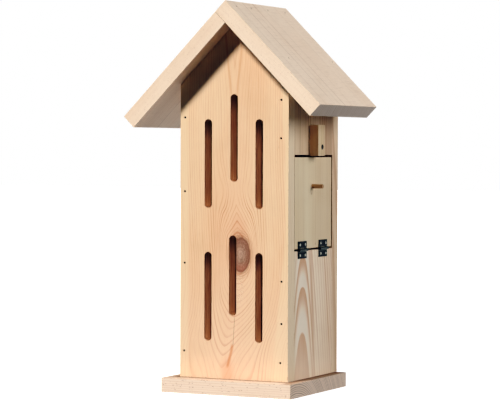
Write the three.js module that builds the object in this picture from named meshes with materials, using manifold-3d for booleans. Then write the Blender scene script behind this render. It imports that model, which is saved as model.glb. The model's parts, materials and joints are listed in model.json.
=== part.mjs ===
// Insect hotel: a small gabled wooden house on a base board, with tall slots in the
// front, a hinged cleaning door in the right side and a turn button that latches it.
// Millimetres, +Z up, front towards -Y. The origin is the centre of the underside of
// the base board. Every board, nail, hinge leaf and pin is a solid of its own.
import * as THREE from 'three';
import { mergeVertices } from 'three/addons/utils/BufferGeometryUtils.js';
import Module from 'manifold-3d';

// ---------------------------------------------------------------- driving sizes
const BOX_W = 124;            // outside width of the box, x
const BOX_D = 123;            // outside depth of the box, front face to back face, y
const EAVE_H = 303.5;         // base board's top to the roof boards' underside, at the box's sides
const BOARD_T = 14.5;         // front, back and side boards
const BASE_T = 15;
const BASE_SIDE = 12;         // base board beyond the box, left and right
const BASE_FRONT = 19;        // base board beyond the box's front
const BASE_BACK = -3;         // base board stops this far short of the box's back
const ROOF_T = 16;
const ROOF_LEN = 150.5;       // both roof boards are one length, down the slope
const ROOF_FRONT = 21;        // roof boards beyond the box's front; flush with its back
const GAP = 0.3;              // between sloping faces that rest on each other

const SLOT_W = 8.4;
// slot centre x, lowest and highest z above the base board's top
const SLOTS = [
  [-29.6, 175.8, 267.6],
  [0.1, 203.0, 293.2],
  [28.9, 175.3, 267.4],
  [-29.55, 38.4, 130.6],
  [-1.0, 65.3, 148.2],
  [29.05, 38.4, 130.6],
];

const KERF_LOW_Z = [132.4, 134.6];     // saw gap below the door, z above the base board's top
const KERF_TOP_Z = [228.6, 231.2];     // saw gap above the door
const DOOR_FRONT_GAP = 0.6;            // door's edge to the front board
const DOOR_BACK_GAP = 2.8;             // door's edge to the back board

const HINGE_W = 20.4;
const HINGE_H = 17.8;
const HINGE_PLATE = 0.8;
const KNUCKLE_R = 1.5;
const KNUCKLE_BORE = 0.72;
const PIN_R = 0.62;
const HINGE_Z = 133.5;                 // pin height above the base board's top
const HINGE_OFF = 1.7;                 // pin axis beyond the side boards' outer face
const HINGE_Y = [33.0, 84.1];          // hinge centres, behind the front face
const HINGE_NAIL_DY = 6.3;
const HINGE_NAIL_DZ = 5.4;

const BUTTON_W = 15.7;
const BUTTON_LEN = 32.1;
const BUTTON_T = 10.0;
const BUTTON_STANDOFF = 0.3;
const BUTTON_SCREW_Y = 60.0;           // behind the front face
const BUTTON_SCREW_Z = 239.3;          // above the base board's top
const BUTTON_SHORT = 9.2;              // screw to the near end
const BUTTON_SIDE = 5.9;               // screw to the near long edge
const KNOB_R = 2.2;
const KNOB_OUT = 12.3;
const KNOB_Y = 58.3;
const KNOB_Z = 198.5;

// brads through the front board into the side boards: x, z above the base board's top
const FRONT_BRADS = [
  [-56.8, 269.4], [-56.8, 192.9], [-56.9, 118.7], [-57.2, 27.2],
  [53.7, 286.9], [53.4, 248.0], [54.6, 102.2], [54.6, 59.0], [53.5, 19.3],
];
// brads through the back board into the side boards
const BACK_BRADS = [
  [-56.0, 274.0], [-56.5, 190.0], [-56.0, 110.0], [-56.5, 26.0],
  [55.5, 284.0], [55.0, 246.0], [55.5, 105.0], [55.0, 22.0],
];
// brads through the right roof board into the end of the left one: y behind the front face
const RIDGE_BRADS = [-5.8, 27.8, 67.6, 110.0];
const RIDGE_BRAD_DOWN = 8.0;           // down the slope from the ridge
const ROOF_BRAD_DOWN = 83;             // roof brads into the front and back boards, down the slope

// ---------------------------------------------------------------- derived places
const FRONT_Y = -(BOX_D + BASE_FRONT + BASE_BACK) / 2 + BASE_FRONT;   // box front face
const BACK_Y = FRONT_Y + BOX_D;
const HALF = BOX_W / 2;
const Z0 = BASE_T;                                     // base board's top
const APEX_IN = Z0 + EAVE_H + HALF;                    // where the roof boards' undersides meet
const APEX_OUT = APEX_IN + ROOF_T * Math.SQRT2;
const ROOF_Y0 = FRONT_Y - ROOF_FRONT;
const K = Math.SQRT1_2;
const IN_Y0 = FRONT_Y + BOARD_T;                       // front board's inner face
const IN_Y1 = BACK_Y - BOARD_T;                        // back board's inner face

// ---------------------------------------------------------------- finishes
const WOODS = {
  pineWarm: { color: 0xe3bd8a, roughness: 0.72, metalness: 0 },
  pinePale: { color: 0xcdb592, roughness: 0.74, metalness: 0 },
  pineRoof: { color: 0xc9b69a, roughness: 0.76, metalness: 0 },
  beech: { color: 0xe6c098, roughness: 0.68, metalness: 0 },
};
const IRON = { color: 0x2c2b29, roughness: 0.5, metalness: 0.85 };
const BRAD = { color: 0x6b655c, roughness: 0.45, metalness: 0.9 };
const ZINC = { color: 0xa9a8a2, roughness: 0.38, metalness: 0.9 };

// ---------------------------------------------------------------- solid helpers
const wasm = await Module();
wasm.setup();

function toSolid(geometry) {
  const g = geometry.clone();
  g.deleteAttribute('normal');
  g.deleteAttribute('uv');
  const m = mergeVertices(g, 1e-4);
  return new wasm.Manifold(new wasm.Mesh({
    numProp: 3,
    vertProperties: new Float32Array(m.attributes.position.array),
    triVerts: new Uint32Array(m.index.array),
  }));
}

function toGeometry(solid) {
  const mesh = solid.getMesh();
  const n = mesh.numProp;
  const count = mesh.vertProperties.length / n;
  const pos = new Float32Array(count * 3);
  for (let i = 0; i < count; i++) {
    for (let k = 0; k < 3; k++) pos[3 * i + k] = mesh.vertProperties[i * n + k];
  }
  const g = new THREE.BufferGeometry();
  g.setAttribute('position', new THREE.BufferAttribute(pos, 3));
  g.setIndex(new THREE.BufferAttribute(new Uint32Array(mesh.triVerts), 1));
  g.computeVertexNormals();
  return g;
}

// A prism whose outline is drawn in x and z, running from y0 to y1.
function prismXZ(points, y0, y1, holes = []) {
  const shape = new THREE.Shape(points.map(([x, z]) => new THREE.Vector2(x, z)));
  for (const h of holes) shape.holes.push(h);
  const g = new THREE.ExtrudeGeometry(shape, { depth: y1 - y0, bevelEnabled: false, curveSegments: 10 });
  g.rotateX(Math.PI / 2);
  g.translate(0, y1, 0);
  return g;
}

function boxAt(x0, x1, y0, y1, z0, z1) {
  const g = new THREE.BoxGeometry(x1 - x0, y1 - y0, z1 - z0);
  g.translate((x0 + x1) / 2, (y0 + y1) / 2, (z0 + z1) / 2);
  return g;
}

// A solid of revolution about the line through `at` along `dir`; the profile is
// [radius, distance along dir] and starts and ends on the axis.
function turned(profile, segments, at, dir) {
  const g = new THREE.LatheGeometry(profile.map(([r, h]) => new THREE.Vector2(r, h)), segments);
  const q = new THREE.Quaternion().setFromUnitVectors(new THREE.Vector3(0, 1, 0), new THREE.Vector3(...dir).normalize());
  g.applyQuaternion(q);
  g.translate(...at);
  return g;
}

function cut(geometry, tools) {
  let solid = toSolid(geometry);
  for (const t of tools) solid = solid.subtract(toSolid(t));
  return toGeometry(solid);
}

function join(geometries) {
  let solid = toSolid(geometries[0]);
  for (let i = 1; i < geometries.length; i++) solid = solid.add(toSolid(geometries[i]));
  return solid;
}

// ---------------------------------------------------------------- fasteners
// A brad: thin shank, small punched head set just under the surface. `at` is on the
// board's surface and `dir` points into the wood.
function bradShape(length) {
  return [[0, 0.2], [0.95, 0.25], [0.95, 1.0], [0.7, 1.3], [0.7, length - 1.6], [0, length]];
}
function bradHole(length) {
  return [[0, -1], [1.2, -1], [1.2, length + 0.3], [0, length + 1.2]];
}
// A round-headed hinge nail: `at` is on the hinge leaf's outer face.
const HINGE_NAIL = [[0, -1.0], [0.9, -0.85], [1.5, -0.5], [1.75, -0.02], [0.62, -0.02], [0.62, 9.6], [0, 11.0]];
const HINGE_NAIL_HOLE = [[0, -1.2], [0.85, -1.2], [0.85, 11.0], [0, 11.8]];
// A countersunk screw, as turned stock with a cross recess cut in its head.
function screwShape(headR, shankR, length) {
  const h = headR - shankR;
  return [[0, 0], [headR, 0], [headR, 0.35], [shankR, h + 0.35], [shankR, length - 3], [0, length]];
}
function screwHole(headR, shankR, length, c = 0.25) {
  const h = headR - shankR;
  return [[0, -2], [headR + c, -2], [headR + c, 0.35 + c], [shankR + c, h + 0.35 + c * 1.6], [shankR + c, length - 3 + c], [0, length + 1]];
}
function crossRecess(at, dir, size, depth) {
  const q = new THREE.Quaternion().setFromUnitVectors(new THREE.Vector3(0, 0, 1), new THREE.Vector3(...dir).normalize());
  return [0, Math.PI / 2].map((a) => {
    const g = new THREE.BoxGeometry(size, size * 0.24, depth * 2);
    g.rotateZ(a + 0.5);
    g.applyQuaternion(q);
    g.translate(...at);
    return g;
  });
}

const root = new THREE.Group();
root.name = 'insect_hotel';
function put(parent, name, geometry, look, at) {
  const mesh = new THREE.Mesh(geometry, new THREE.MeshStandardMaterial(look));
  mesh.name = name;
  if (at) mesh.position.set(...at);
  parent.add(mesh);
  return mesh;
}

// ---------------------------------------------------------------- house boards
const house = new THREE.Group();
house.name = 'house';
root.add(house);

const frontBrads = FRONT_BRADS.map(([x, z]) => ({ at: [x, FRONT_Y, z + Z0], dir: [0, 1, 0], len: 30 }));
const backBrads = BACK_BRADS.map(([x, z]) => ({ at: [x, BACK_Y, z + Z0], dir: [0, -1, 0], len: 30 }));
const ridgeX = RIDGE_BRAD_DOWN * K;
const ridgeBrads = RIDGE_BRADS.map((y) => ({ at: [ridgeX, FRONT_Y + y, APEX_OUT - ridgeX], dir: [-K, 0, -K], len: 38 }));
const slopeX = ROOF_BRAD_DOWN * K;
const roofBrads = [
  { name: 'roof_brad_right_front', at: [slopeX, FRONT_Y + BOARD_T / 2, APEX_OUT - slopeX], dir: [-K, 0, -K], len: 38 },
  { name: 'roof_brad_right_back', at: [slopeX, BACK_Y - BOARD_T / 2, APEX_OUT - slopeX], dir: [-K, 0, -K], len: 38 },
  { name: 'roof_brad_left_front', at: [-slopeX, FRONT_Y + BOARD_T / 2, APEX_OUT - slopeX], dir: [K, 0, -K], len: 38 },
  { name: 'roof_brad_left_back', at: [-slopeX, BACK_Y - BOARD_T / 2, APEX_OUT - slopeX], dir: [K, 0, -K], len: 38 },
];
const holeOf = (b) => turned(bradHole(b.len), 8, b.at, b.dir);

// base board, held by four screws from below
const BASE_SCREW_X = 34;
const BASE_SCREW_IN = 9;               // behind the front face, and ahead of the back face
const baseScrews = [
  { name: 'base_screw_front_left', at: [-BASE_SCREW_X, FRONT_Y + BASE_SCREW_IN, 0] },
  { name: 'base_screw_front_right', at: [BASE_SCREW_X, FRONT_Y + BASE_SCREW_IN, 0] },
  { name: 'base_screw_back_left', at: [-BASE_SCREW_X, BACK_Y - BASE_SCREW_IN, 0] },
  { name: 'base_screw_back_right', at: [BASE_SCREW_X, BACK_Y - BASE_SCREW_IN, 0] },
];
const BASE_HEAD_R = 3.4, BASE_SHANK_R = 1.5, BASE_SCREW_L = 35, BASE_SINK = 0.6;
const baseHole = (s) => turned(screwHole(BASE_HEAD_R, BASE_SHANK_R, BASE_SCREW_L), 16, [s.at[0], s.at[1], BASE_SINK], [0, 0, 1]);

put(house, 'base_board',
  cut(boxAt(-HALF - BASE_SIDE, HALF + BASE_SIDE, FRONT_Y - BASE_FRONT, BACK_Y + BASE_BACK, 0, BASE_T), baseScrews.map(baseHole)),
  WOODS.beech);

// gabled front and back boards
const gable = [[-HALF, Z0], [HALF, Z0], [HALF, Z0 + EAVE_H - GAP], [0, APEX_IN - GAP], [-HALF, Z0 + EAVE_H - GAP]];
const slotPath = ([x, lo, hi]) => {
  const r = SLOT_W / 2;
  const p = new THREE.Path();
  p.absarc(x, Z0 + hi - r, r, 0, Math.PI, false);
  p.absarc(x, Z0 + lo + r, r, Math.PI, 2 * Math.PI, false);
  p.closePath();
  return p;
};
put(house, 'front_board',
  cut(prismXZ(gable, FRONT_Y, IN_Y0, SLOTS.map(slotPath)), [
    ...frontBrads.map(holeOf), holeOf(roofBrads[0]), holeOf(roofBrads[2]), baseHole(baseScrews[0]), baseHole(baseScrews[1]),
  ]), WOODS.pineWarm);

// hanging plate on the back, over a pocket that takes the wall screw's head
const HANG_Z = Z0 + 285;
const PLATE_H = 46, PLATE_W = 18, PLATE_T = 1.5;
const hangScrews = [
  { name: 'hanger_screw_top', at: [0, BACK_Y + PLATE_T + 0.2, HANG_Z + 18] },
  { name: 'hanger_screw_bottom', at: [0, BACK_Y + PLATE_T + 0.2, HANG_Z - 18] },
];
const HANG_HEAD_R = 3.0, HANG_SHANK_R = 1.3, HANG_L = 13;
const hangHole = (s) => turned(screwHole(HANG_HEAD_R, HANG_SHANK_R, HANG_L), 16, s.at, [0, -1, 0]);
put(house, 'back_board',
  cut(prismXZ(gable, IN_Y1, BACK_Y), [
    ...backBrads.map(holeOf), holeOf(roofBrads[1]), holeOf(roofBrads[3]), baseHole(baseScrews[2]), baseHole(baseScrews[3]),
    boxAt(-6, 6, BACK_Y - 7, BACK_Y + 1, HANG_Z - 11, HANG_Z + 11),
    ...hangScrews.map(hangHole),
  ]), WOODS.pinePale);

// left side board, its top cut to the roof's slope
const sideTopOut = Z0 + EAVE_H - GAP;
put(house, 'side_board_left',
  cut(prismXZ([[-HALF, Z0], [-HALF + BOARD_T, Z0], [-HALF + BOARD_T, sideTopOut + BOARD_T], [-HALF, sideTopOut]], IN_Y0, IN_Y1), [
    ...frontBrads.slice(0, 4).map(holeOf), ...backBrads.slice(0, 4).map(holeOf),
  ]), WOODS.pinePale);

// right side: fixed boards above and below the door
const sideX = HALF;
const hingeNails = [];
for (let h = 0; h < 2; h++) {
  for (const [leaf, sz] of [['door', 1], ['frame', -1]]) {
    for (const [side, sy] of [['front', -1], ['back', 1]]) {
      hingeNails.push({
        name: `hinge_${h === 0 ? 'front' : 'back'}_${leaf}_nail_${side}`, hinge: h, leaf,
        at: [sideX + HINGE_PLATE, FRONT_Y + HINGE_Y[h] + sy * HINGE_NAIL_DY, Z0 + HINGE_Z + sz * HINGE_NAIL_DZ],
      });
    }
  }
}
const hingeNailHole = (n) => turned(HINGE_NAIL_HOLE, 8, n.at, [-1, 0, 0]);
const BUTTON_X0 = sideX + BUTTON_STANDOFF;
const BUTTON_X1 = BUTTON_X0 + BUTTON_T;
const buttonScrewAt = [BUTTON_X1 + 0.9, FRONT_Y + BUTTON_SCREW_Y, Z0 + BUTTON_SCREW_Z];
// round-headed screw, on which the button turns
const BUTTON_SCREW = [[0, 0], [1.3, 0.08], [2.3, 0.38], [2.85, 0.85], [1.45, 0.87], [1.45, 20.5], [0, 23]];
const buttonScrewHole = (r, extra) => turned([[0, 0.5], [r, 0.5], [r, 20.5 + extra], [0, 24]], 16, buttonScrewAt, [-1, 0, 0]);

put(house, 'side_board_right_lower',
  cut(boxAt(HALF - BOARD_T, HALF, IN_Y0, IN_Y1, Z0, Z0 + KERF_LOW_Z[0]), [
    ...frontBrads.slice(6).map(holeOf), ...backBrads.slice(6).map(holeOf),
    ...hingeNails.filter((n) => n.leaf === 'frame').map(hingeNailHole),
  ]), WOODS.pinePale);
put(house, 'side_board_right_upper',
  cut(prismXZ([[HALF - BOARD_T, Z0 + KERF_TOP_Z[1]], [HALF, Z0 + KERF_TOP_Z[1]], [HALF, sideTopOut], [HALF - BOARD_T, sideTopOut + BOARD_T]], IN_Y0, IN_Y1), [
    ...frontBrads.slice(4, 6).map(holeOf), ...backBrads.slice(4, 6).map(holeOf),
    buttonScrewHole(1.62, 0.4),
  ]), WOODS.pinePale);

// ---------------------------------------------------------------- roof boards
// The right board runs up to the ridge and laps the left board's end, which butts
// square against its underside.
const roof = new THREE.Group();
roof.name = 'roof';
root.add(roof);
const down = (x, z, s, side) => [x + side * s * K, z - s * K];       // s down the slope
const inset = (p, t, side) => [p[0] - side * t * K, p[1] - t * K];   // t into the board from its outer face
const rTop = [0, APEX_OUT];
const rLow = down(...rTop, ROOF_LEN, 1);
put(roof, 'roof_board_right',
  cut(prismXZ([rTop, inset(rTop, ROOF_T, 1), inset(rLow, ROOF_T, 1), rLow], ROOF_Y0, BACK_Y), [
    ...ridgeBrads.map(holeOf), holeOf(roofBrads[0]), holeOf(roofBrads[1]),
  ]), WOODS.pineRoof);
const lTop = down(0, APEX_OUT, ROOF_T + GAP, -1);
const lLow = down(0, APEX_OUT, ROOF_T + ROOF_LEN, -1);
put(roof, 'roof_board_left',
  cut(prismXZ([lTop, lLow, inset(lLow, ROOF_T, -1), inset(lTop, ROOF_T, -1)], ROOF_Y0, BACK_Y), [
    ...ridgeBrads.map(holeOf), holeOf(roofBrads[2]), holeOf(roofBrads[3]),
  ]), WOODS.pineRoof);

// ---------------------------------------------------------------- door
const door = new THREE.Group();
door.name = 'door';
root.add(door);
const doorZ0 = Z0 + KERF_LOW_Z[1];
const doorZ1 = Z0 + KERF_TOP_Z[0];
const knobAt = [sideX, FRONT_Y + KNOB_Y, Z0 + KNOB_Z];
put(door, 'door_board',
  cut(boxAt(HALF - BOARD_T, HALF, IN_Y0 + DOOR_FRONT_GAP, IN_Y1 - DOOR_BACK_GAP, doorZ0, doorZ1), [
    ...hingeNails.filter((n) => n.leaf === 'door').map(hingeNailHole),
    turned([[0, -11], [KNOB_R + 0.12, -11], [KNOB_R + 0.12, 1], [0, 1]], 24, knobAt, [1, 0, 0]),
  ]), WOODS.pinePale);
put(door, 'door_knob',
  turned([[0, -10.5], [KNOB_R, -10.5], [KNOB_R, KNOB_OUT - 0.4], [KNOB_R - 0.4, KNOB_OUT], [0, KNOB_OUT]], 24, knobAt, [1, 0, 0]),
  WOODS.beech);

// ---------------------------------------------------------------- hinges
const hingeNames = ['front', 'back'];
const axisX = sideX + HINGE_OFF;
const axisZ = Z0 + HINGE_Z;
const KN = HINGE_W / 4;                 // end knuckle length; the middle one is twice it
function knuckle(y0, y1, up) {
  const tube = new THREE.Shape();
  tube.absarc(axisX, axisZ, KNUCKLE_R, 0, Math.PI * 2, false);
  const barrel = new THREE.ExtrudeGeometry(tube, { depth: y1 - y0, bevelEnabled: false, curveSegments: 12 });
  barrel.rotateX(Math.PI / 2);
  barrel.translate(0, y1, 0);
  const z = up > 0 ? [axisZ, axisZ + 2.4] : [axisZ - 2.4, axisZ];
  return [barrel, boxAt(sideX + 0.22, sideX + HINGE_PLATE, y0, y1, z[0], z[1])];
}
for (let h = 0; h < 2; h++) {
  const yc = FRONT_Y + HINGE_Y[h];
  const y0 = yc - HINGE_W / 2, y1 = yc + HINGE_W / 2;
  const bore = turned([[0, -1], [KNUCKLE_BORE, -1], [KNUCKLE_BORE, HINGE_W + 1], [0, HINGE_W + 1]], 16, [axisX, y0, axisZ], [0, 1, 0]);
  const leafPlate = (up) => boxAt(sideX, sideX + HINGE_PLATE, y0, y1,
    up > 0 ? axisZ + 1.75 : axisZ - HINGE_H / 2, up > 0 ? axisZ + HINGE_H / 2 : axisZ - 1.75);
  const holes = (leaf) => hingeNails.filter((n) => n.hinge === h && n.leaf === leaf).map(hingeNailHole);
  const finish = (solid, tools) => {
    let s = solid;
    for (const t of [bore, ...tools]) s = s.subtract(toSolid(t));
    return toGeometry(s);
  };
  put(door, `hinge_${hingeNames[h]}_leaf_door`,
    finish(join([leafPlate(1), ...knuckle(y0, y0 + KN - 0.12, 1), ...knuckle(y1 - KN + 0.12, y1, 1)]), holes('door')), IRON);
  put(house, `hinge_${hingeNames[h]}_leaf_frame`,
    finish(join([leafPlate(-1), ...knuckle(y0 + KN + 0.12, y1 - KN - 0.12, -1)]), holes('frame')), IRON);
  put(house, `hinge_${hingeNames[h]}_pin`,
    turned([[0, 0.3], [PIN_R - 0.12, 0.3], [PIN_R, 0.45], [PIN_R, HINGE_W - 0.45], [PIN_R - 0.12, HINGE_W - 0.3], [0, HINGE_W - 0.3]], 16, [axisX, y0, axisZ], [0, 1, 0]), IRON);
}
for (const n of hingeNails) {
  put(n.leaf === 'door' ? door : house, n.name, turned(HINGE_NAIL, 10, n.at, [-1, 0, 0]), ZINC);
}

// ---------------------------------------------------------------- turn button
// Stored with its long end up, clear of the door; half a turn brings the long end
// down over the door's top edge and latches it.
const button = new THREE.Group();
button.name = 'turn_button_group';
root.add(button);
const bY0 = FRONT_Y + BUTTON_SCREW_Y - (BUTTON_W - BUTTON_SIDE);
const bY1 = FRONT_Y + BUTTON_SCREW_Y + BUTTON_SIDE;
const bZ0 = Z0 + BUTTON_SCREW_Z - BUTTON_SHORT;
put(button, 'turn_button',
  cut(boxAt(BUTTON_X0, BUTTON_X1, bY0, bY1, bZ0, bZ0 + BUTTON_LEN), [buttonScrewHole(1.62, 0.4)]), WOODS.pinePale);
{
  let s = toSolid(turned(BUTTON_SCREW, 16, buttonScrewAt, [-1, 0, 0]));
  for (const t of crossRecess(buttonScrewAt, [-1, 0, 0], 3.2, 0.6)) s = s.subtract(toSolid(t));
  put(house, 'turn_button_screw', toGeometry(s), IRON);
}

// ---------------------------------------------------------------- brads and screws
const number = (i) => String(i + 1);
frontBrads.forEach((b, i) => put(house, `front_brad_${number(i)}`, turned(bradShape(b.len), 8, b.at, b.dir), BRAD));
backBrads.forEach((b, i) => put(house, `back_brad_${number(i)}`, turned(bradShape(b.len), 8, b.at, b.dir), BRAD));
ridgeBrads.forEach((b, i) => put(roof, `ridge_brad_${number(i)}`, turned(bradShape(b.len), 8, b.at, b.dir), BRAD));
for (const b of roofBrads) put(roof, b.name, turned(bradShape(b.len), 8, b.at, b.dir), BRAD);
for (const s of baseScrews) {
  const at = [s.at[0], s.at[1], BASE_SINK];
  let solid = toSolid(turned(screwShape(BASE_HEAD_R, BASE_SHANK_R, BASE_SCREW_L), 16, at, [0, 0, 1]));
  for (const t of crossRecess(at, [0, 0, 1], 3.6, 1.1)) solid = solid.subtract(toSolid(t));
  put(house, s.name, toGeometry(solid), ZINC);
}

// ---------------------------------------------------------------- hanging plate
{
  const plate = new THREE.Shape();
  const r = PLATE_W / 2;
  plate.absarc(0, HANG_Z + PLATE_H / 2 - r, r, 0, Math.PI, false);
  plate.absarc(0, HANG_Z - PLATE_H / 2 + r, r, Math.PI, 2 * Math.PI, false);
  plate.closePath();
  // keyhole: the screw's head goes in below, the shank slides up into the narrow slot
  const key = new THREE.Path();
  const R = 4.6, w = 2.3, cz = HANG_Z - 3, tz = HANG_Z + 7;
  const a = Math.acos(w / R);
  key.absarc(0, cz, R, Math.PI - a, 2 * Math.PI + a, false);
  key.absarc(0, tz, w, 0, Math.PI, false);
  key.closePath();
  plate.holes.push(key);
  const g = new THREE.ExtrudeGeometry(plate, { depth: PLATE_T, bevelEnabled: false, curveSegments: 10 });
  g.rotateX(Math.PI / 2);
  g.translate(0, BACK_Y + PLATE_T, 0);
  put(house, 'hanger_plate', cut(g, hangScrews.map(hangHole)), ZINC);
  for (const s of hangScrews) {
    let solid = toSolid(turned(screwShape(HANG_HEAD_R, HANG_SHANK_R, HANG_L), 16, s.at, [0, -1, 0]));
    for (const t of crossRecess(s.at, [0, -1, 0], 3.2, 0.9)) solid = solid.subtract(toSolid(t));
    put(house, s.name, toGeometry(solid), ZINC);
  }
}

export default root;
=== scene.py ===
import bpy
import json
import math
from mathutils import Matrix, Vector


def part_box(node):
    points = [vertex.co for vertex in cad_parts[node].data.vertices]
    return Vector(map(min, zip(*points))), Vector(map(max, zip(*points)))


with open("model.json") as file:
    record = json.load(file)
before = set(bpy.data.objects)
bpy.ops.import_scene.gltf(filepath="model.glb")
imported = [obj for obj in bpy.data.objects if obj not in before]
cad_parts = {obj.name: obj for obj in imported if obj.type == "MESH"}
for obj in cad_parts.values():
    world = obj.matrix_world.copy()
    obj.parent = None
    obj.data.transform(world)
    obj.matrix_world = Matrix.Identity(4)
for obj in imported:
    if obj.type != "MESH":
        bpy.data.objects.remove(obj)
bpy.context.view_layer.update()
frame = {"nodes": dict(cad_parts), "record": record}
scene = bpy.context.scene

# ------------------------------------------------------------------ places, from the frame
# millimetres in the row frame, as the materials use them
front_lo, front_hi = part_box("front_board")
base_lo, base_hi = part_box("base_board")
FRONT_Y = front_lo.y * 1000
BASE_TOP = base_hi.z * 1000
HALF = front_hi.x * 1000


def srgb(r, g, b):
    def f(c):
        c /= 255.0
        return c / 12.92 if c <= 0.04045 else ((c + 0.055) / 1.055) ** 2.4
    return (f(r), f(g), f(b), 1.0)


# ------------------------------------------------------------------ node arithmetic
class V:
    """One number field in a material; + - * / build Math nodes."""

    def __init__(self, g, s):
        self.g, self.s = g, s

    def op(self, kind, b=None, c=None, clamp=False):
        n = self.g.tree.nodes.new("ShaderNodeMath")
        n.operation = kind
        n.use_clamp = clamp
        self.g.plug(n.inputs[0], self)
        if b is not None:
            self.g.plug(n.inputs[1], b)
        if c is not None:
            self.g.plug(n.inputs[2], c)
        return V(self.g, n.outputs[0])

    def __add__(self, o): return self.op("ADD", o)
    def __radd__(self, o): return self.op("ADD", o)
    def __sub__(self, o): return self.op("SUBTRACT", o)
    def __mul__(self, o): return self.op("MULTIPLY", o)
    def __rmul__(self, o): return self.op("MULTIPLY", o)
    def __truediv__(self, o): return self.op("DIVIDE", o)
    def __neg__(self): return self.op("MULTIPLY", -1.0)
    def __rsub__(self, o): return (-self).op("ADD", o)
    def abs(self): return self.op("ABSOLUTE")
    def sqrt(self): return self.op("SQRT")
    def pow(self, e): return self.op("POWER", e)
    def sin(self): return self.op("SINE")
    def fract(self): return self.op("FRACT")
    def floor(self): return self.op("FLOOR")
    def min(self, o): return self.op("MINIMUM", o)
    def max(self, o): return self.op("MAXIMUM", o)
    def atan2(self, o): return self.op("ARCTAN2", o)


class Graph:
    def __init__(self, name):
        self.mat = bpy.data.materials.new(name)
        self.mat.use_nodes = True
        self.tree = self.mat.node_tree
        self.tree.nodes.clear()
        self.out = self.tree.nodes.new("ShaderNodeOutputMaterial")
        self.bsdf = self.tree.nodes.new("ShaderNodeBsdfPrincipled")
        self.tree.links.new(self.bsdf.outputs[0], self.out.inputs[0])
        tc = self.tree.nodes.new("ShaderNodeTexCoord")
        sp = self.tree.nodes.new("ShaderNodeSeparateXYZ")
        self.tree.links.new(tc.outputs["Object"], sp.inputs[0])
        self.x = V(self, sp.outputs[0]) * 1000.0
        self.y = V(self, sp.outputs[1]) * 1000.0
        self.z = V(self, sp.outputs[2]) * 1000.0
        # the flat direction each face looks in, from the mesh itself
        geo = self.tree.nodes.new("ShaderNodeNewGeometry")
        self.geo = geo
        vt = self.tree.nodes.new("ShaderNodeVectorTransform")
        vt.vector_type = "NORMAL"
        vt.convert_from = "WORLD"
        vt.convert_to = "OBJECT"
        self.tree.links.new(geo.outputs["Normal"], vt.inputs[0])
        sn = self.tree.nodes.new("ShaderNodeSeparateXYZ")
        self.tree.links.new(vt.outputs[0], sn.inputs[0])
        self.nx, self.ny, self.nz = (V(self, sn.outputs[i]) for i in range(3))

    def plug(self, socket, v):
        if isinstance(v, V):
            self.tree.links.new(v.s, socket)
        elif isinstance(v, (int, float)):
            if hasattr(socket.default_value, "__len__"):
                socket.default_value = (v, v, v, 1.0)[:len(socket.default_value)]
            else:
                socket.default_value = v
        else:
            socket.default_value = v

    def vec(self, x, y, z):
        n = self.tree.nodes.new("ShaderNodeCombineXYZ")
        for i, c in enumerate((x, y, z)):
            self.plug(n.inputs[i], c)
        return V(self, n.outputs[0])

    def noise(self, v, detail=2.0, rough=0.5, distort=0.0):
        n = self.tree.nodes.new("ShaderNodeTexNoise")
        n.noise_dimensions = "3D"
        self.plug(n.inputs["Vector"], v)
        n.inputs["Scale"].default_value = 1.0
        n.inputs["Detail"].default_value = detail
        n.inputs["Roughness"].default_value = rough
        n.inputs["Distortion"].default_value = distort
        return V(self, n.outputs[0])

    def voronoi(self, v, feature="F1", rand=1.0):
        n = self.tree.nodes.new("ShaderNodeTexVoronoi")
        n.feature = feature
        self.plug(n.inputs["Vector"], v)
        n.inputs["Scale"].default_value = 1.0
        n.inputs["Randomness"].default_value = rand
        return n

    def ramp(self, v, lo, hi, a=0.0, b=1.0, smooth=True):
        n = self.tree.nodes.new("ShaderNodeMapRange")
        n.interpolation_type = "SMOOTHSTEP" if smooth else "LINEAR"
        n.clamp = True
        self.plug(n.inputs[0], v)
        self.plug(n.inputs[1], lo)
        self.plug(n.inputs[2], hi)
        self.plug(n.inputs[3], a)
        self.plug(n.inputs[4], b)
        return V(self, n.outputs[0])

    def curve(self, v, points):
        """A smooth curve through (position, value) points, for one field."""
        xs = [p[0] for p in points]
        ys = [p[1] for p in points]
        lo, hi = min(xs), max(xs)
        y0, y1 = min(ys), max(ys)
        span = (y1 - y0) or 1.0
        n = self.tree.nodes.new("ShaderNodeFloatCurve")
        c = n.mapping.curves[0]
        pts = sorted(points)
        while len(c.points) < len(pts):
            c.points.new(0.5, 0.5)
        for p, (px, py) in zip(c.points, pts):
            p.location = ((px - lo) / (hi - lo), (py - y0) / span)
            p.handle_type = "AUTO"
        n.mapping.update()
        n.inputs["Factor"].default_value = 1.0
        self.plug(n.inputs["Value"], self.ramp(v, lo, hi, smooth=False))
        return V(self, n.outputs[0]) * span + y0

    def mix(self, f, a, b, blend="MIX"):
        n = self.tree.nodes.new("ShaderNodeMix")
        n.data_type = "RGBA"
        n.blend_type = blend
        n.clamp_factor = True
        self.plug(n.inputs[0], f)
        self.plug(n.inputs[6], a)
        self.plug(n.inputs[7], b)
        return V(self, n.outputs[2])

    def bump(self, height, strength, distance):
        n = self.tree.nodes.new("ShaderNodeBump")
        n.inputs["Strength"].default_value = strength
        n.inputs["Distance"].default_value = distance
        self.plug(n.inputs["Height"], height)
        self.tree.links.new(n.outputs[0], self.bsdf.inputs["Normal"])

    def finish(self, color, rough, metallic=0.0, spec=0.5):
        self.plug(self.bsdf.inputs["Base Color"], color)
        self.plug(self.bsdf.inputs["Roughness"], rough)
        self.bsdf.inputs["Metallic"].default_value = metallic
        self.bsdf.inputs["Specular IOR Level"].default_value = spec
        return self.mat


# ------------------------------------------------------------------ wood
def dot(g, axis):
    s = None
    for c, comp in zip(axis, (g.x, g.y, g.z)):
        if abs(c) < 1e-9:
            continue
        t = comp if abs(c - 1) < 1e-9 else comp * c
        s = t if s is None else s + t
    return s


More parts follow.
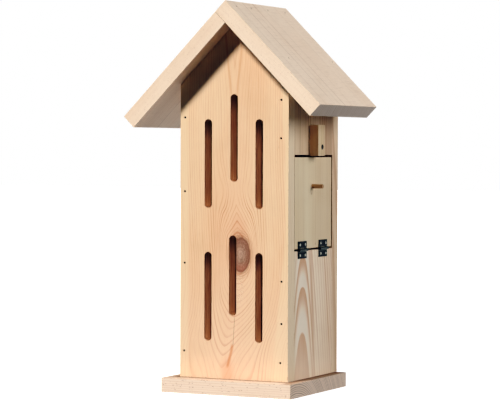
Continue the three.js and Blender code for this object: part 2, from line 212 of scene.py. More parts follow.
def edge_mask(g, spans, width):
    """1 on a board's arrises, 0 on its flats; spans are (field, low, high) across the board."""
    d = [(f - lo).abs().min((f - hi).abs()) for f, lo, hi in spans]
    a, b, c = d
    second = a.min(b).max(a.max(b).min(c))
    return g.ramp(second, 0.0, width, 1.0, 0.0)


def rings(g, F, pitch, seed, band=(0.17, 0.90), jitter=1.5):
    """Growth rings from a ring field F in mm: (latewood line 0..1, ring number, place in the ring)."""
    k = F / pitch
    if jitter:
        k = k + g.noise(g.vec(k * 0.37 + seed, seed * 1.7, 0.3), 1.0) * jitter
    t = k.fract()
    late = g.ramp(t, band[0], band[1]) * g.ramp(t, 0.94, 1.0, 1.0, 0.0)
    return late, k.floor(), t


def fibres(g, u, v, w, seed, fine=0.35, length=22.0):
    """Long streaks along v: (broad, fine, hair)."""
    a = g.noise(g.vec(u / 2.6 + seed, v / 90.0, w / 2.6), 2.0, 0.6)
    b = g.noise(g.vec(u / fine + seed * 3.1, v / length, w / fine), 3.0, 0.65)
    c = g.noise(g.vec(u / 0.16 + seed * 5.3, v / 7.0, w / 0.16), 2.0, 0.6)
    return a, b, c


def pine(name, U, Vv, W, pith, tilt, pitch, cols, seed, contrast=0.6, wave=2.0, F=None, extra=None,
         end_dark=0.62, spans=None, fleck=0.0, weight=None, band=(0.17, 0.90), jitter=1.5, end_rings=0.55, hair=1.0, end_col=(110, 84, 62), end_line=None):
    """Planed softwood. U runs across the board, Vv along the grain, W through the thickness.
    pith is (across, depth) of the heart of the log, and tilt how fast it runs out along the grain."""
    g = Graph(name)
    early, late_c, heart = cols
    u, v, w = dot(g, U), dot(g, Vv), dot(g, W)
    sway = (g.noise(g.vec(seed, v / 130.0, 2.0), 1.0) - 0.5) * (wave * 4)
    warp = (g.noise(g.vec(u / 24.0 + seed, v / 120.0, w / 24.0), 2.0) - 0.5) * (wave * 2)
    if F is None:
        uu = u - pith[0] + sway
        dd = w - pith[1] + v * tilt
        F = (uu * uu + dd * dd).sqrt() + warp
    else:
        F = F(g, u, v, w) + warp * 0.6
    late, ring, t = rings(g, F, pitch, seed, band, jitter)
    # every ring has its own strength
    per = g.noise(g.vec(ring * 0.731 + seed, 0.5, 0.5), 0.0)
    late = late * g.ramp(per, 0.25, 0.75, 0.45, 1.0)
    strength = contrast if weight is None else weight(g, u, v, w) * contrast
    a, b, c = fibres(g, u, v, w, seed)
    tone = g.noise(g.vec(u / 38.0 + seed, v / 160.0, w / 38.0), 2.0)
    col = g.mix(g.ramp(tone, 0.3, 0.72), early, heart)
    col = g.mix(g.ramp(late + (b - 0.5) * 0.35, 0.05, 1.0) * strength, col, late_c)
    col = g.mix(g.ramp(a, 0.35, 0.75) * 0.22, col, heart)
    # fine streaks, darker and lighter
    col = g.mix(g.ramp(b, 0.52, 0.78) * (0.20 * hair), col, late_c)
    col = g.mix(g.ramp(b, 0.46, 0.22) * (0.20 * hair), col, srgb(252, 236, 212))
    col = g.mix(g.ramp(c, 0.58, 0.80) * (0.16 * hair), col, late_c)
    # short resin canals and planer marks
    res = g.voronoi(g.vec(u / 3.4 + seed, v / 26.0, w / 3.4))
    canal = g.ramp(V(g, res.outputs["Distance"]), 0.0, 0.09, 1.0, 0.0)
    pick = g.ramp(g.noise(g.vec(u / 3.4 + seed * 2, v / 26.0, 9.0), 0.0), 0.55, 0.6)
    canal = canal * pick
    col = g.mix(canal * 0.35, col, srgb(120, 74, 40))
    height = late * 0.35 + b * 0.5 + c * 0.35 - canal * 0.6
    if fleck:
        fl = g.voronoi(g.vec(u / 1.3 + seed, v / 4.2, w / 1.3))
        f = g.ramp(V(g, fl.outputs["Distance"]), 0.10, 0.30, 1.0, 0.0)
        f = f * g.ramp(g.noise(g.vec(u / 2.2 + seed, v / 6.0, w / 2.2), 1.0), 0.44, 0.6)
        col = g.mix(f * fleck, col, srgb(150, 98, 62))
        height = height - f * 0.4
    if extra:
        col, height = extra(g, u, v, w, col, height, late)
    # end grain: rings close up, pores drink light
    n = {0: g.nx, 1: g.ny, 2: g.nz}
    along = None
    for i in range(3):
        if abs(Vv[i]) > 1e-9:
            term = n[i] * Vv[i]
            along = term if along is None else along + term
    end = g.ramp(along.abs(), 0.72, 0.94)
    pores = g.noise(g.vec(u / 0.35, w / 0.35, v / 3.0), 2.0, 0.7)
    endc = g.mix(g.ramp(late, 0.1, 0.9) * end_rings, heart, srgb(*end_line) if end_line else late_c)
    endc = g.mix(g.ramp(pores, 0.45, 0.72) * 0.3, endc, srgb(128, 96, 70))
    endc = g.mix(1.0 - end_dark, endc, srgb(*end_col))
    col = g.mix(end, col, endc)
    rough = 0.66 + b * 0.14 - late * 0.07 + end * 0.12
    if spans:
        e = edge_mask(g, [(dot(g, ax), lo, hi) for ax, lo, hi in spans], 1.5)
        fuzz = g.ramp(g.noise(g.vec(u / 1.6, v / 5.0, w / 1.6), 2.0, 0.6), 0.38, 0.66)
        worn = e * (fuzz * 0.75 + 0.25)
        col = g.mix(worn * 0.28, col, srgb(250, 226, 190))
        dent = e * g.ramp(g.noise(g.vec(u / 3.2 + 7.0, v / 4.0, w / 3.2 + seed), 1.0), 0.62, 0.72)
        col = g.mix(dent * 0.3, col, srgb(150, 108, 70))
        rough = rough + worn * 0.08
    grime = g.noise(g.vec(g.x / 46.0 + seed, g.y / 46.0, g.z / 46.0), 3.0, 0.55)
    col = g.mix(g.ramp(grime, 0.50, 0.78) * 0.10, col, srgb(176, 138, 96))
    g.bump(height, 0.28, 0.00035)
    return g.finish(col, rough.min(0.95), spec=0.28)


X, Y, Z = (1, 0, 0), (0, 1, 0), (0, 0, 1)
K = math.sqrt(0.5)


def span_box(node):
    lo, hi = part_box(node)
    return [(X, lo.x * 1000, hi.x * 1000), (Y, lo.y * 1000, hi.y * 1000), (Z, lo.z * 1000, hi.z * 1000)]


def assign(node, mat):
    o = frame["nodes"][node]
    o.data.materials.clear()
    o.data.materials.append(mat)


# ---- front board: flat-sawn, one knot beside the lower middle slot
# the slots as (middle, top above the base board)
SLOT_TOPS = ((-29.6, 267.6), (0.1, 293.2), (28.9, 267.4), (-29.55, 130.6), (-1.0, 148.2), (29.05, 130.6))
KNOT_X, KNOT_Z = 7.9, BASE_TOP + 128.5
KNOT_A, KNOT_B = 11.2, 18.2


def knot_polar(g, u, v):
    dx = (u - KNOT_X) / KNOT_A
    dz = (v - KNOT_Z) / KNOT_B
    wob = (g.noise(g.vec(u / 6.0, v / 9.0, 4.0), 2.0) - 0.5) * 0.22
    return dx, dz, (dx * dx + dz * dz).sqrt() + wob


def front_field(g, u, v, w):
    """Ring field of the front board. Rings run straight up the sides, close in pointed
    arches over the knot and are drawn out low and to the left below it."""
    zb = v - BASE_TOP
    uc = g.curve(zb, [(-5, -14.5), (20, -12.5), (34, -10), (55, -3), (75, 2.5), (110, 6), (150, 4.5), (187, 2.5), (215, 1.0), (260, 0), (300, 0.5), (370, 1)])
    D = g.curve(zb, [(-5, 47), (15, 43.5), (35, 38), (55, 31.5), (75, 24.5), (95, 16), (111, 8.5), (129, 3), (147, 7.5), (157, 12.0), (170, 16.5), (184, 20.5), (194, 21.6), (208, 20.2), (225, 18.4), (250, 17.4), (285, 17.0), (320, 14.5), (370, 11.0)])
    a = (u - uc).abs()
    lean = g.curve(zb, [(-5, 1.5), (35, 1.55), (75, 1.8), (111, 2.0), (140, 2.0), (152, 1.55), (170, 1.22), (187, 1.12), (215, 1.15), (370, 1.3)])
    oval = (a.pow(lean) + D.pow(lean)).pow(lean.pow(-1.0))
    t = g.ramp(zb, 20.0, 150.0)
    straight = a * (t * 0.14 + 0.86) + (22.0 - t * 11.0)
    far = g.ramp(a, 20.0 - t * 9.0, 50.0 - t * 22.0)
    return oval * (1.0 - far) + straight * far + (w - FRONT_Y) * 0.7


def front_weight(g, u, v, w):
    """Rings stand out round the knot and below it, and are faint elsewhere."""
    zb = v - BASE_TOP
    low = g.ramp(zb, 196.0, 160.0)
    mid = g.ramp((u - 2.0).abs(), 46.0, 24.0)
    arch = g.ramp((zb - 160.0).abs(), 40.0, 14.0) * g.ramp((u - 4.0).abs(), 30.0, 14.0)
    return low * mid * 0.62 + arch * 0.70 + 0.46


def front_extra(g, u, v, w, col, height, late):
    zb = v - BASE_TOP
    # sapwood along both edges, yellower and paler
    wander = (g.noise(g.vec(3.0, v / 60.0, 1.0), 1.0) - 0.5) * 5.0
    right_edge = g.curve(zb, [(-5, 44.0), (30, 47), (80, 51), (140, 57.5), (200, 59.0), (260, 56.0), (370, 50.0)])
    sap = g.ramp(u + wander - right_edge, -1.6, 1.6).max(g.ramp(u + wander * 0.6, -50.5, -54.5))
    col = g.mix(sap * 0.62, col, g.mix(g.ramp(late, 0.1, 0.9) * 0.25, srgb(244, 217, 178), srgb(232, 194, 148)))
    # rosy heart round the knot and down the middle
    rosy = g.ramp((u - 2.0).abs() + (zb - 120.0).abs() * 0.16, 8.0, 44.0, 1.0, 0.0)
    col = g.mix(rosy * 0.30, col, srgb(238, 182, 146))
    low = g.ramp(zb, 4.0, 60.0, 1.0, 0.0) * g.ramp(u.abs(), 22.0, 50.0, 1.0, 0.0)
    col = g.mix(low * 0.34, col, srgb(247, 210, 180))
    pale_foot = g.ramp(zb, 150.0, 40.0)
    col = g.mix(pale_foot * 0.24, col, srgb(249, 220, 194))
    # warmer wood pressed up over the knot
    ax, az = (u - 5.0) / 15.0, (zb - 152.0) / 24.0
    over = g.ramp((ax * ax + az * az).sqrt(), 1.0, 0.25)
    col = g.mix(over * 0.34, col, srgb(222, 156, 118))
    # the knot
    dx, dz, r = knot_polar(g, u, v)
    inside = g.ramp(r, 0.93, 1.03, 1.0, 0.0)
    wav = (g.noise(g.vec(u / 2.6, v / 4.0, 1.0), 2.0) - 0.5) * 1.2
    rr = ((r * 4.6 + wav) * 6.2832).sin() * 0.5 + 0.5
    kc = g.mix(g.ramp(r, 0.10, 0.80), srgb(184, 148, 127), srgb(148, 103, 82))
    kc = g.mix(rr * 0.46, kc, srgb(114, 76, 58))
    hx, hz = dx + 0.12, dz - 0.12
    heart = g.ramp((hx * hx * 5.0 + hz * hz * 1.2).sqrt(), 0.62, 0.1)
    kc = g.mix(heart * 0.24, kc, srgb(206, 166, 142))
    bx, bz = dx - 0.12, dz + 0.36
    bud = g.ramp((bx * bx + bz * bz).sqrt(), 0.26, 0.08)
    kc = g.mix(bud * 0.5, kc, srgb(122, 92, 70))
    kc = g.mix(g.ramp(dz, -0.30, -0.80) * 0.5, kc, srgb(176, 106, 84))
    spoke = g.noise(g.vec(dx.atan2(dz) * 5.0, r * 1.3, 2.0), 2.0)
    kc = g.mix(g.ramp(spoke, 0.50, 0.74) * 0.45, kc, srgb(108, 72, 54))
    speck = g.noise(g.vec(u / 0.9, v / 0.9, 3.0), 2.0, 0.6)
    kc = g.mix(g.ramp(speck, 0.50, 0.68) * 0.36, kc, srgb(210, 174, 146))
    kc = g.mix(g.ramp(dx, 0.35, 0.95) * 0.45, kc, srgb(128, 80, 58))
    rim = g.ramp((r - 0.96).abs(), 0.02, 0.16, 1.0, 0.0)
    # the darker grain hugging the knot, in close lines
    near = g.ramp((r - 1.0).abs(), 0.0, 0.62, 1.0, 0.0) * g.ramp(r, 0.96, 1.02)
    lines = ((r * 7.5 + wav) * 6.2832).sin() * 0.5 + 0.5
    col = g.mix(near * (0.22 + lines * 0.46), col, srgb(172, 108, 74))
    # torn grain on the flank of the slot under the knot
    tx, tz = (u - 6.5) / 7.5, (zb - 92.0) / 20.0
    patch = g.ramp((tx * tx + tz * tz).sqrt(), 1.0, 0.45)
    torn = g.noise(g.vec(u / 1.5, v / 0.9, 6.0), 3.0, 0.7)
    col = g.mix(patch * g.ramp(torn, 0.54, 0.66) * 0.50, col, srgb(164, 108, 72))
    col = g.mix(patch * g.ramp(torn, 0.46, 0.36) * 0.55, col, srgb(253, 238, 214))
    height = height + patch * (torn - 0.5) * 2.0
    # resin-rich wood where the rings come to their point at the foot
    fx, fz = (u + 7.0) / 11.0, (zb - 6.0) / 24.0
    foot = g.ramp((fx * fx + fz * fz).sqrt(), 1.0, 0.2)
    col = g.mix(foot * 0.34, col, srgb(230, 150, 106))
    col = g.mix(inside * 0.96, col, kc)
    col = g.mix(rim * 0.45, col, srgb(124, 78, 56))
    height = height + inside * 0.5 - rim * 0.8 + rr * inside * 0.4
    # a resin streak and a hair crack below the lower middle slot
    sx = u - g.curve(zb, [(0, -8.5), (12, -6.8), (24, -3.6), (34, -1.4), (40, -1.0)])
    streak = g.ramp(sx.abs(), 0.3, 2.6, 1.0, 0.0) * g.ramp((zb - 24.0).abs(), 9.0, 14.0, 1.0, 0.0)
    col = g.mix(streak * 0.62, col, srgb(214, 126, 70))
    cx = u - g.curve(zb, [(20, -2.0), (34, -0.6), (50, 0.6), (66, 1.4)]) + (g.noise(g.vec(1.0, v / 3.0, 0.0), 2.0) - 0.5) * 1.2
    crack = g.ramp(cx.abs(), 0.12, 0.5, 1.0, 0.0) * g.ramp((zb - 49.0).abs(), 12.0, 17.0, 1.0, 0.0)
    col = g.mix(crack * 0.5, col, srgb(140, 86, 52))
    height = height - crack * 1.2
    # two reddish flames running down to the top of the upper middle slot
    # sawn walls of the slots, paler than the face
    wall = g.ramp(g.ny.abs(), 0.5, 0.2) * g.ramp(u.abs(), 50.0, 46.0) * g.ramp(zb, 8.0, 12.0)
    col = g.mix(wall * 0.92, col, g.mix(g.ramp(g.noise(g.vec(u, v / 24.0, w / 1.7), 2.0), 0.36, 0.66), srgb(243, 210, 183), srgb(219, 179, 152)))
    # painted shade: each slot's walls darken towards the slot's top
    for sx0, sz1 in SLOT_TOPS:
        painted_top_shade = wall * g.ramp((u - sx0).abs(), 6.5, 5.5) * g.ramp(zb, sz1 - 24.0, sz1 - 3.0) * g.ramp(zb, sz1 + 2.0, sz1 + 1.0)
        col = g.mix(painted_top_shade * 0.26, col, srgb(70, 46, 34))
    # the board's long edges are planed paler and greyer than its face
    flank = g.ramp(g.nx.abs(), 0.6, 0.85) * g.ramp(u.abs(), 58.0, 61.0)
    col = g.mix(flank * 0.6, col, g.mix(g.ramp(late, 0.1, 0.9) * 0.4, srgb(222, 203, 174), srgb(196, 164, 128)))
    for side in (-1.0, 1.0):
        fx = u - 0.2 - side * g.curve(zb, [(285, 3.2), (300, 4.0), (320, 6.4), (345, 9.0), (370, 11.5)])
        fl = g.ramp(fx.abs(), 0.2, 1.9, 1.0, 0.0) * g.ramp(zb, 286.0, 298.0)
        col = g.mix(fl * 0.42, col, srgb(214, 150, 100))
    return col, height


PINE_WARM = (srgb(243, 211, 173), srgb(198, 122, 76), srgb(240, 200, 160))
mat_front = pine("front_pine", X, Z, Y, (0, 0), 0.0, 2.7, PINE_WARM, 1.3, contrast=0.66, wave=0.5,
                 F=front_field, extra=front_extra, spans=span_box("front_board"), weight=front_weight,
                 band=(0.45, 0.94), jitter=1.2, hair=1.5)
assign("front_board", mat_front)

# ---- the other boards of the box
SIDE = (srgb(233, 207, 168), srgb(176, 124, 84), srgb(222, 190, 150))
BACKC = (srgb(226, 199, 166), srgb(170, 122, 88), srgb(214, 180, 146))


def arches(g, u, v, w):
    """Three wide arches standing on the base, counted in rings, and straight grain behind them."""
    zb = v - BASE_TOP
    a = (u - FRONT_Y - 34.0 - zb * 0.012).abs()
    drop = g.curve(a, [(0, 0), (3, 0.6), (6, 3.0), (9, 8.5), (12, 17), (18, 41), (24, 72), (30, 104), (40, 162), (60, 290), (100, 560)])
    t = zb + drop + (HALF - w) * 2.2
    return g.curve(t, [(-10, 0.53), (0, 0.60), (50, 1.0), (96, 2.0), (128, 3.0), (164, 4.0), (244, 6.2), (744, 20.0)])


def arch_extra(g, u, v, w, col, height, late):
    zb = v - BASE_TOP
    a = (u - FRONT_Y - 34.0).abs()
    pale = g.ramp(a, 6.0, 26.0, 1.0, 0.0)
    brown = g.ramp((u - FRONT_Y - 34.0 - g.curve(zb, [(0, 30), (60, 26), (131, 20)]) ).abs(), 1.5, 4.5, 1.0, 0.0)
    col = g.mix(brown * 0.50, col, srgb(194, 140, 100))
    col = g.mix(pale * g.ramp(late, 0.45, 0.05) * 0.55, col, srgb(238, 226, 208))
    # painted light: paler towards the bottom, standing in for light thrown up from the floor
    col = g.mix(g.ramp(zb, 60.0, 0.0) * 0.52, col, srgb(248, 222, 192))
    front = g.ramp(u - FRONT_Y, 22.0, 11.0)
    col = g.mix(front * 0.7, col, srgb(206, 181, 144))
    rear = g.ramp(u - FRONT_Y, 70.0, 110.0)
    col = g.mix(rear * 0.22, col, srgb(192, 148, 116))
    return col, height


mat_low = pine("side_low_pine", Y, Z, X, (0, 0), 0.0, 1.0, (srgb(244, 223, 196), srgb(200, 148, 110), srgb(238, 212, 180)), 2.1,
               contrast=0.86, wave=0.05, F=arches, extra=arch_extra, spans=span_box("side_board_right_lower"),
               band=(0.12, 0.93), jitter=0.0, hair=0.8)
assign("side_board_right_lower", mat_low)
def up_extra(g, u, v, w, col, height, late):
    zb = v - BASE_TOP
    # darker towards the back, and painted shade towards the top, where the roof shades the board
    back = g.ramp(u - FRONT_Y, 50.0, 100.0)
    top = g.ramp(zb, 235.0, 300.0)
    col = g.mix(back * 0.38 + top * 0.24, col, srgb(160, 120, 94))
    return col, height


mat_up = pine("side_up_pine", Y, Z, X, (FRONT_Y - 60.0, 20.0), 0.02, 4.2, (srgb(228, 203, 168), srgb(150, 108, 78), srgb(210, 178, 142)), 5.7, contrast=0.74, wave=0.8, extra=up_extra,
              spans=span_box("side_board_right_upper"))
assign("side_board_right_upper", mat_up)


def door_extra(g, u, v, w, col, height, late):
    col = g.mix(g.ramp(u - FRONT_Y, 42.0, 84.0) * 0.34, col, srgb(200, 166, 130))
    for py, pz, s in ((56.5, 191.0, 1.3), (66.0, 138.6, 1.1)):
        dy, dz = (u - (FRONT_Y + py)) / s, (v - (BASE_TOP + pz)) / (s * 1.6)
        spot = g.ramp((dy * dy + dz * dz).sqrt(), 0.2, 1.0, 1.0, 0.0)
        col = g.mix(spot * 0.55, col, srgb(140, 84, 50))
    return col, height


mat_door = pine("door_pine", Y, Z, X, (FRONT_Y - 90.0, 40.0), 0.012, 3.0, (srgb(230, 211, 177), srgb(188, 150, 110), srgb(224, 200, 162)), 8.4,
                contrast=0.40, wave=0.9, extra=door_extra, spans=span_box("door_board"))
assign("door_board", mat_door)
mat_left = pine("side_left_pine", Y, Z, X, (FRONT_Y + 70.0, -90.0), 0.05, 3.6, SIDE, 11.9, contrast=0.55, wave=1.6,
                spans=span_box("side_board_left"))
assign("side_board_left", mat_left)


def back_field(g, u, v, w):
    D = g.curve(v, [(0, 8.0), (120, 22.0), (230, 34.0), (390, 52.0)])
    a = (u + 9.0).abs()
    return (a * a * 1.6 + (D * D)).sqrt() + (w - FRONT_Y) * 0.3


mat_back = pine("back_pine", X, Z, Y, (0, 0), 0.0, 4.2, BACKC, 14.2, contrast=0.6, wave=2.2, F=back_field,
                spans=span_box("back_board"))
assign("back_board", mat_back)

# ---- roof boards and base board: a paler, denser wood with short flecks
PALE = (srgb(250, 229, 205), srgb(206, 164, 130), srgb(244, 218, 192))
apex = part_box("roof_board_right")[1].z * 1000
roof_lo, roof_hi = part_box("roof_board_right")
SR, NR = (K, 0, -K), (K, 0, K)      # down the right slope, out of the right slope
SL, NL = (-K, 0, -K), (-K, 0, K)
r_s0 = -apex * K
ROOF_T, ROOF_L = 16.0, 150.5


def streaks(lines, colour, strength):
    def f(g, u, v, w, col, height, late):
        for pos, width, m0 in lines:
            wob = (g.noise(g.vec(pos, v / 50.0, 1.0), 1.0) - 0.5) * 2.0
            m = g.ramp((u + wob - pos).abs(), width * 0.2, width, 1.0, 0.0)
            m = m * g.ramp(g.noise(g.vec(pos * 1.7, v / 22.0, 4.0), 1.0), 0.30, 0.55, 0.45, 1.0)
            col = g.mix(m * (strength * m0), col, colour)
        # faint saw marks across the grain
        saw = g.noise(g.vec(v / 0.8, u / 16.0, w / 3.0), 2.0, 0.6)
        wide = g.noise(g.vec(v / 3.5, u / 40.0, w / 3.0), 2.0, 0.6)
        top = g.ramp(g.nz, 0.45, 0.65)
        col = g.mix(g.ramp(saw, 0.52, 0.70) * (0.06 + top * 0.20), col, colour)
        col = g.mix(g.ramp(wide, 0.50, 0.72) * (0.04 + top * 0.10), col, colour)
        # painted cool light from above greys the upper face
        grey = g.noise(g.vec(g.x / 30.0, g.y / 26.0, g.z / 30.0), 2.0)
        col = g.mix(top * (0.50 + grey * 0.12), col, srgb(188, 172, 156))
        return col, height + saw * 0.35
    return f


def edge_field(offset, slope=0.12):
    """Nearly straight rings across the width, as in a board cut near the middle of a log."""
    return lambda g, u, v, w: (u - offset) + w * slope + (g.noise(g.vec(u / 60.0, v / 140.0, 0.5), 1.0) - 0.5) * 7.0


def quiet_edge(g, u, v, w):
    return 1.0 - g.ramp(g.ny.abs(), 0.5, 0.8) * 0.78


mat_roof_r = pine("roof_right_wood", Y, SR, NR, (0, 0), 0.0, 3.4, PALE, 21.3, contrast=0.24, wave=0.6, F=edge_field(-90.0, 0.55),
                  spans=[(Y, roof_lo.y * 1000, roof_hi.y * 1000), (SR, r_s0, r_s0 + ROOF_L), (NR, apex * K - ROOF_T, apex * K)],
                  extra=streaks([(FRONT_Y - 5.0, 0.9, 0.7), (FRONT_Y + 17.0, 1.1, 1.0), (FRONT_Y + 30.0, 0.7, 0.6), (FRONT_Y + 41.0, 1.0, 1.0), (FRONT_Y + 60.0, 0.8, 0.5), (FRONT_Y + 92.0, 0.7, 0.5)], srgb(158, 116, 88), 0.72),
                  fleck=0.24, end_dark=0.42, end_rings=0.5, hair=0.7, end_col=(104, 96, 94), weight=quiet_edge)
assign("roof_board_right", mat_roof_r)
mat_roof_l = pine("roof_left_wood", Y, SL, NL, (0, 0), 0.0, 3.2, PALE, 24.8, contrast=0.26, wave=0.8, F=edge_field(-110.0, 0.6),
                  spans=[(Y, roof_lo.y * 1000, roof_hi.y * 1000), (SL, r_s0 + ROOF_T, r_s0 + ROOF_T + ROOF_L), (NL, apex * K - ROOF_T, apex * K)],
                  extra=streaks([(FRONT_Y + 30.0, 1.0, 1.0), (FRONT_Y + 75.0, 0.9, 0.8)], srgb(176, 136, 106), 0.4),
                  fleck=0.24, end_dark=0.66, end_rings=0.5, hair=0.7, end_col=(112, 110, 114), weight=quiet_edge)
assign("roof_board_left", mat_roof_l)


def base_painted_shade(g, u, v, w, col, height, late):
    """Painted shade where the box stands on the board: the top darkens at the box's foot, and over the whole top,
    more to the right of the box.
    """
    bx = g.x.abs() - HALF
    by = (FRONT_Y - g.y)
    d = bx.max(by).max(-1.0)
    n = g.noise(g.vec(g.x / 3.0, g.y / 3.0, 1.0), 2.0)
    # painted contact shadow along the box's foot
    m = g.ramp(d + (n - 0.5) * 1.6, 0.0, 12.0, 1.0, 0.0) * g.ramp(g.nz, 0.6, 0.8)
    col = g.mix(m * 0.92, col, srgb(104, 70, 46))
    # painted shade over the top, deeper to the right of the box
    top = g.ramp(g.nz, 0.6, 0.8)
    side = g.ramp(g.x, HALF, HALF + 3.0)
    return g.mix(top * (0.36 + side * 0.38), col, srgb(148, 108, 80)), height


mat_base = pine("base_wood", Y, X, Z, (FRONT_Y - 4.0, -44.0), 0.0, 2.2, (srgb(251, 229, 208), srgb(208, 166, 134), srgb(247, 219, 193)), 31.0,
                contrast=0.30, wave=0.35, spans=span_box("base_board"), fleck=0.70, end_dark=0.84, end_rings=0.80, extra=base_painted_shade, end_col=(118, 108, 106), band=(0.25, 0.9), end_line=(160, 130, 108), jitter=1.0)
assign("base_board", mat_base)

# ---- turn button: an offcut, its grain lengthwise; knob: a dowel
def button_painted_light(g, u, v, w, col, height, late):
    """Painted light: the faces looking along y are made paler and warmer, standing in for light on the front face,
    which lies in shade; a ripple varies their tone.
    """
    painted_light_faces = g.ramp(g.ny.abs(), 0.5, 0.8)
    ripple = g.noise(g.vec(g.y / 2.0, v / 9.0, w / 2.6), 2.0)
    return g.mix(painted_light_faces * 0.88, col, g.mix(ripple, srgb(250, 210, 168), srgb(236, 192, 148))), height


mat_button = pine("button_pine", Y, Z, X, (-70.0, 20.0), 0.02, 2.6, (srgb(222, 200, 162), srgb(178, 138, 98), srgb(212, 182, 142)), 41.0,
                  contrast=0.55, wave=0.6, spans=span_box("turn_button"), extra=button_painted_light)
assign("turn_button", mat_button)
mat_knob = pine("dowel_wood", Y, X, Z, (FRONT_Y + 52.0, 205.0), 0.0, 1.4, (srgb(228, 184, 142), srgb(176, 122, 84), srgb(214, 166, 122)), 47.0,
                contrast=0.5, wave=0.3, fleck=0.3)
assign("door_knob", mat_knob)


# ------------------------------------------------------------------ metal
def metal(name, base, worn, scale, rough, metallic=1.0, rust=0.0, seed=0.0, spec=0.5, knuckle=None):
    g = Graph(name)
    p = lambda s: g.vec(g.x / s + seed, g.y / s, g.z / s)
    cloud = g.noise(p(scale * 4), 3.0, 0.6)
    grit = g.noise(p(scale * 0.6), 3.0, 0.7)
    col = g.mix(g.ramp(cloud, 0.35, 0.7) * 0.07, base, srgb(92, 84, 74))
    rub = g.ramp(grit, 0.56, 0.76)
    col = g.mix(rub * 0.55, col, worn)
    if rust:
        spot = g.ramp(g.noise(p(scale * 1.6), 2.0, 0.6), 0.58, 0.72)
        col = g.mix(spot * rust, col, srgb(122, 66, 34))
    if knuckle:
        # the rolled barrel is rubbed bright by the pin turning in it
        zone = g.ramp((g.z - knuckle).abs(), 3.0, 1.6)
        col = g.mix(zone * (0.40 + rub * 0.3), col, srgb(112, 110, 100))
    scratch = g.noise(g.vec(g.x / 0.2, g.y / 3.0, g.z / 0.25), 2.0, 0.6)
    r = rough + (grit - 0.5) * 0.30 + g.ramp(scratch, 0.5, 0.8) * 0.10
    g.bump(grit * 0.6 + scratch * 0.4, 0.25, 0.0001)
    g.bsdf.inputs["Metallic"].default_value = metallic
    return g.finish(col, r, metallic=metallic, spec=spec)


mat_iron = metal("hinge_black", srgb(10, 8, 4), srgb(48, 43, 31), 0.9, 0.52, 0.1, rust=0.04, seed=2.0, spec=0.12, knuckle=148.5)
mat_pin = metal("hinge_pin", srgb(60, 60, 58), srgb(150, 148, 142), 0.6, 0.38, 0.7, seed=4.0)
mat_hnail = metal("hinge_nail", srgb(128, 125, 114), srgb(228, 224, 208), 0.5, 0.28, 0.70, rust=0.04, seed=5.0)
mat_screw = metal("dark_screw", srgb(58, 50, 44), srgb(140, 128, 112), 0.5, 0.38, 0.9, rust=0.1, seed=6.0)
mat_brad = metal("brad_wire", srgb(44, 34, 27), srgb(84, 70, 58), 0.4, 0.55, 0.5, rust=0.4, seed=7.0, spec=0.3)
mat_zinc = metal("zinc_plate", srgb(176, 176, 172), srgb(214, 214, 210), 1.4, 0.34, 0.95, rust=0.04, seed=8.0)

slot_of = {s["node"]: s["material_slot"] for s in frame["record"]["subparts"]}
for node, slot in slot_of.items():
    if slot == "hinge_metal":
        assign(node, mat_pin if node.endswith("_pin") else mat_iron)
    elif slot == "hinge_nail":
        assign(node, mat_hnail)
    elif slot == "dark_screw":
        assign(node, mat_screw)
    elif slot == "brad":
        assign(node, mat_brad)
    elif slot == "zinc":
        assign(node, mat_zinc)

# ------------------------------------------------------------------ softened arrises
for node in frame["nodes"]:
    o = frame["nodes"][node]
    slot = slot_of[node]
    wood = slot in ("front_pine", "side_pine", "roof_pine", "beech", "button_wood", "dowel")
    width = 0.00045 if wood else 0.00018
    if slot == "dowel":
        width = 0.0003
    if slot == "brad":
        continue
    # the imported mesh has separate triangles, and a bevel needs shared edges
    weld = o.modifiers.new("weld", "WELD")
    weld.merge_threshold = 1e-6
    m = o.modifiers.new("arris", "BEVEL")
    m.width = width
    m.segments = 2
    m.limit_method = "ANGLE"
    m.angle_limit = math.radians(40)
    m.harden_normals = False
    m.use_clamp_overlap = True

# ------------------------------------------------------------------ floor
bpy.ops.mesh.primitive_plane_add(size=14.0, location=(0, 3.0, -0.0002))
floor = bpy.context.object
floor.name = "floor"
fm = Graph("floor_white")
tone = fm.noise(fm.vec(fm.x / 900.0, fm.y / 900.0, 0.0), 1.0)
white = fm.mix(tone * 0.1, (0.94, 0.94, 0.94, 1), (0.90, 0.90, 0.90, 1))
fm.finish(white, 0.9, spec=0.1)
fm.plug(fm.bsdf.inputs["Emission Color"], white)
fm.bsdf.inputs["Emission Strength"].default_value = 0.85
geo = fm.geo
clear = fm.tree.nodes.new("ShaderNodeBsdfTransparent")
sides = fm.tree.nodes.new("ShaderNodeMixShader")
fm.tree.links.new(geo.outputs["Backfacing"], sides.inputs[0])
fm.tree.links.new(fm.bsdf.outputs[0], sides.inputs[1])
fm.tree.links.new(clear.outputs[0], sides.inputs[2])
fm.tree.links.new(sides.outputs[0], fm.out.inputs[0])
floor.data.materials.append(fm.mat)
floor.visible_diffuse = False
floor.visible_shadow = False

# ------------------------------------------------------------------ light
def sun(name, direction, strength, angle, color):
    d = bpy.data.lights.new(name, "SUN")
    d.energy = strength
    d.angle = math.radians(angle)
    d.color = color
    o = bpy.data.objects.new(name, d)
    o.rotation_mode = "QUATERNION"
    o.rotation_quaternion = Vector(direction).normalized().to_track_quat("-Z", "Y")
    scene.collection.objects.link(o)
    return o


def area(name, at, to, size, power, color):
    d = bpy.data.lights.new(name, "AREA")
    d.shape = "RECTANGLE"
    d.size, d.size_y = size
    d.energy = power
    d.color = color
    o = bpy.data.objects.new(name, d)
    o.location = at
    o.rotation_mode = "QUATERNION"
    o.rotation_quaternion = (Vector(to) - Vector(at)).to_track_quat("-Z", "Y")
    scene.collection.objects.link(o)
    return o


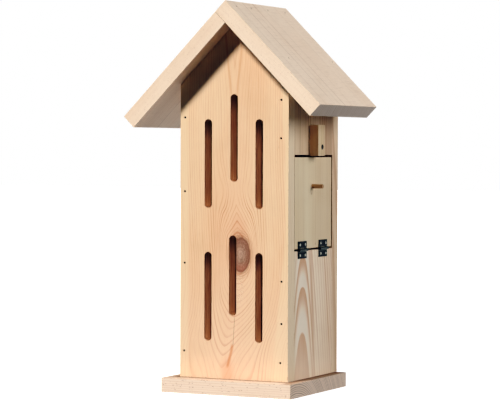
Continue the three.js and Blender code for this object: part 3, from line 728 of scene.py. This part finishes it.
sun("key", (0.2606, 0.6642, -0.7006), 4.4, 10.0, (1.0, 0.965, 0.92))
area("side_fill", (2.4, 0.62, 1.15), (0, 0, 0.2), (1.7, 1.7), 54.0, (0.93, 0.965, 1.0))
# light coming back up under the eaves, from low behind
sun("under", (0.20, -0.45, 0.87), 1.42, 50.0, (0.80, 0.895, 1.0))

world = bpy.data.worlds.new("studio")
scene.world = world
world.use_nodes = True
wt = world.node_tree
wt.nodes.clear()
wo = wt.nodes.new("ShaderNodeOutputWorld")
bg_light = wt.nodes.new("ShaderNodeBackground")
bg_light.inputs[0].default_value = (0.74, 0.84, 1.0, 1)
bg_light.inputs[1].default_value = 0.035
bg_seen = wt.nodes.new("ShaderNodeBackground")
bg_seen.inputs[0].default_value = (1, 1, 1, 1)
bg_seen.inputs[1].default_value = 1.0
lp = wt.nodes.new("ShaderNodeLightPath")
mx = wt.nodes.new("ShaderNodeMixShader")
wt.links.new(lp.outputs["Is Camera Ray"], mx.inputs[0])
wt.links.new(bg_light.outputs[0], mx.inputs[1])
wt.links.new(bg_seen.outputs[0], mx.inputs[2])
wt.links.new(mx.outputs[0], wo.inputs[0])

scene.view_settings.view_transform = "Standard"
scene.view_settings.look = "None"
# a print's toe: the deepest shade goes to black, red first
scene.view_settings.use_curve_mapping = True
tone = scene.view_settings.curve_mapping
for channel, points in (
        (0, ((0.05, 0.009), (0.10, 0.040), (0.15, 0.096), (0.22, 0.182), (0.40, 0.388), (0.70, 0.70))),
        (1, ((0.05, 0.014), (0.12, 0.080), (0.22, 0.195), (0.40, 0.392), (0.70, 0.70))),
        (2, ((0.02, 0.006), (0.05, 0.021), (0.12, 0.090), (0.22, 0.204), (0.40, 0.396), (0.70, 0.70)))):
    for px, py in points:
        tone.curves[channel].points.new(px, py)
tone.update()

# ------------------------------------------------------------------ camera
cam_data = bpy.data.cameras.new("camera")
cam_data.sensor_width = 36.0
cam_data.lens = 156.03
cam_data.clip_end = 60.0
cam = bpy.data.objects.new("camera", cam_data)
right = Vector((0.89675153, 0.44251957, 0.0036209))
up = Vector((-0.013879, 0.0199453, 0.99970474))
back = right.cross(up).normalized()
up = back.cross(right).normalized()
m = Matrix((right, up, back)).transposed().to_4x4()
m.translation = Vector((0.99907, -2.03787, 0.2531))
cam.matrix_world = m
scene.collection.objects.link(cam)
scene.camera = cam
